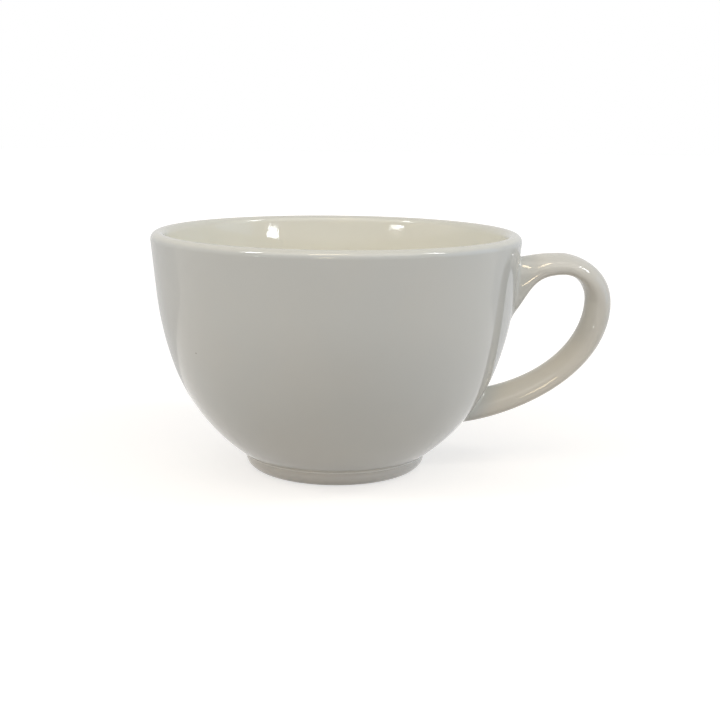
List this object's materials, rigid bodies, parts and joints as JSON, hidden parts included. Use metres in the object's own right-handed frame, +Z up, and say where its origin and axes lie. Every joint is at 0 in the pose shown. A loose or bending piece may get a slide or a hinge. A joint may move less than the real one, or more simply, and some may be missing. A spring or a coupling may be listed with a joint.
{
  "type": "latte cup",
  "caption": "Wide round ceramic cup with thick walls, a soft rounded rim, a low foot ring and one looped handle, for milky coffee.",
  "frame": {"origin": "centre of the foot ring's resting land, on the bowl's axis", "axes": "+Z up along the bowl's axis, +X out along the handle, +Y across the handle"},
  "size_m": [0.1381, 0.11, 0.0716],
  "materials": {
    "cream_glaze": "glossy warm white glaze",
    "foot_glaze": "glossy warm white glaze, bare clay on the land",
    "glazed_slip": "slip seam under the same glaze"
  },
  "bodies": {
    "root": {"bowl": "cream_glaze", "foot_ring": "foot_glaze", "foot_slip_joint": "glazed_slip", "handle": "cream_glaze", "upper_slip_joint": "glazed_slip", "lower_slip_joint": "glazed_slip"}
  },
  "joints": []
}
